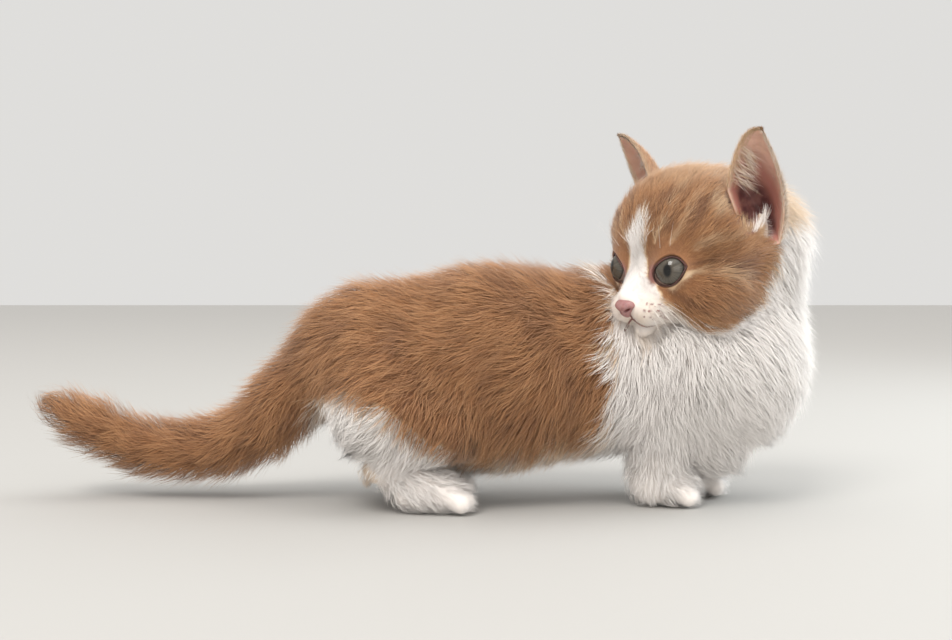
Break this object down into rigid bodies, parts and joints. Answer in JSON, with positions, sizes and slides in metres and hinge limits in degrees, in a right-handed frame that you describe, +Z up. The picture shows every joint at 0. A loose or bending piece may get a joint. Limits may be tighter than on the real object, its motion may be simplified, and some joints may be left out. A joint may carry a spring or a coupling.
{
  "type": "munchkin cat model",
  "caption": "Life-size still model of a fluffy ginger and white munchkin kitten, standing on short legs with its head turned back",
  "frame": {"origin": "centre of the footprint of the bounding box, on the floor that the paws stand on", "axes": "+X from the tail to the chest, along the longest extent; +Y to the cat's left; +Z up"},
  "size_m": [0.3476, 0.1036, 0.1583],
  "materials": {
    "ginger_coat": "soft ginger fur with faint tabby shading",
    "white_coat": "soft white fur",
    "nose_leather": "bare pink nose leather",
    "eye": "wet, clear cornea over a grey-brown iris"
  },
  "bodies": {
    "root": {"head": "ginger_coat", "neck": "white_coat", "chest": "white_coat", "torso": "ginger_coat", "rump": "ginger_coat", "tail_base": "ginger_coat", "tail_tip": "ginger_coat", "fore_leg_right": "white_coat", "fore_leg_left": "white_coat", "fore_paw_right": "white_coat", "fore_paw_left": "white_coat", "hind_leg_right": "ginger_coat", "hind_leg_left": "ginger_coat", "hind_foot_right": "white_coat", "hind_foot_left": "white_coat", "ear_right": "ginger_coat", "ear_left": "ginger_coat", "eye_right": "eye", "eye_left": "eye", "nose": "nose_leather"}
  },
  "joints": []
}
